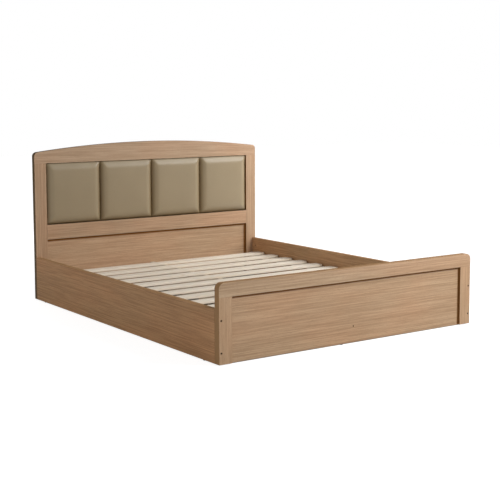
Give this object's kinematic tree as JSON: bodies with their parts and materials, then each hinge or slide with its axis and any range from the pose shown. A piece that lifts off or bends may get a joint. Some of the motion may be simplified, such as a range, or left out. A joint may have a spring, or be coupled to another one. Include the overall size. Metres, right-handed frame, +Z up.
{
  "type": "double bed frame",
  "caption": "Double bed frame with an arched headboard holding square padded cushions, a low footboard, tall side rails and a slatted base.",
  "frame": {"origin": "on the floor under the middle of the bed", "axes": "+Y from the foot end towards the headboard, +Z up, +X to the right when seen from the foot end"},
  "size_m": [1.58, 1.986, 0.9189],
  "materials": {
    "oak_laminate": "satin oak-grain laminate",
    "leatherette": "smooth olive-taupe leatherette",
    "pale_wood": "bare planed softwood",
    "plywood": "bare plywood",
    "dark_steel": "dark zinc plating",
    "glide_plastic": "matt black"
  },
  "bodies": {
    "root": {"headboard_top_rail": "oak_laminate", "headboard_left_stile": "oak_laminate", "headboard_right_stile": "oak_laminate", "headboard_mid_rail": "oak_laminate", "headboard_lower_panel": "oak_laminate", "footboard_top_rail": "oak_laminate", "footboard_left_post": "oak_laminate", "footboard_right_post": "oak_laminate", "footboard_panel": "oak_laminate", "left_side_rail": "oak_laminate", "right_side_rail": "oak_laminate", "headboard_back_board": "plywood", "pad_board_1": "plywood", "pad_board_2": "plywood", "pad_board_3": "plywood", "pad_board_4": "plywood", "headboard_pad_1": "leatherette", "headboard_pad_2": "leatherette", "headboard_pad_3": "leatherette", "headboard_pad_4": "leatherette", "left_slat_ledge": "pale_wood", "right_slat_ledge": "pale_wood", "centre_support_board": "pale_wood", "slat_01": "pale_wood", "slat_02": "pale_wood", "slat_03": "pale_wood", "slat_04": "pale_wood", "slat_05": "pale_wood", "slat_06": "pale_wood", "slat_07": "pale_wood", "slat_08": "pale_wood", "slat_09": "pale_wood", "slat_10": "pale_wood", "slat_11": "pale_wood", "slat_12": "pale_wood", "bolt_foot_left_low": "dark_steel", "barrel_nut_foot_left_low": "dark_steel", "bolt_foot_left_high": "dark_steel", "barrel_nut_foot_left_high": "dark_steel", "bolt_foot_right_low": "dark_steel", "barrel_nut_foot_right_low": "dark_steel", "bolt_foot_right_high": "dark_steel", "barrel_nut_foot_right_high": "dark_steel", "centre_screw_foot": "dark_steel", "bolt_head_left_low": "dark_steel", "barrel_nut_head_left_low": "dark_steel", "bolt_head_left_high": "dark_steel", "barrel_nut_head_left_high": "dark_steel", "bolt_head_right_low": "dark_steel", "barrel_nut_head_right_low": "dark_steel", "bolt_head_right_high": "dark_steel", "barrel_nut_head_right_high": "dark_steel", "centre_screw_head": "dark_steel", "glide_left_rail_foot": "glide_plastic", "glide_left_rail_head": "glide_plastic", "glide_right_rail_foot": "glide_plastic", "glide_right_rail_head": "glide_plastic", "glide_footboard": "glide_plastic", "glide_centre_foot": "glide_plastic", "glide_centre_head": "glide_plastic"}
  },
  "joints": []
}
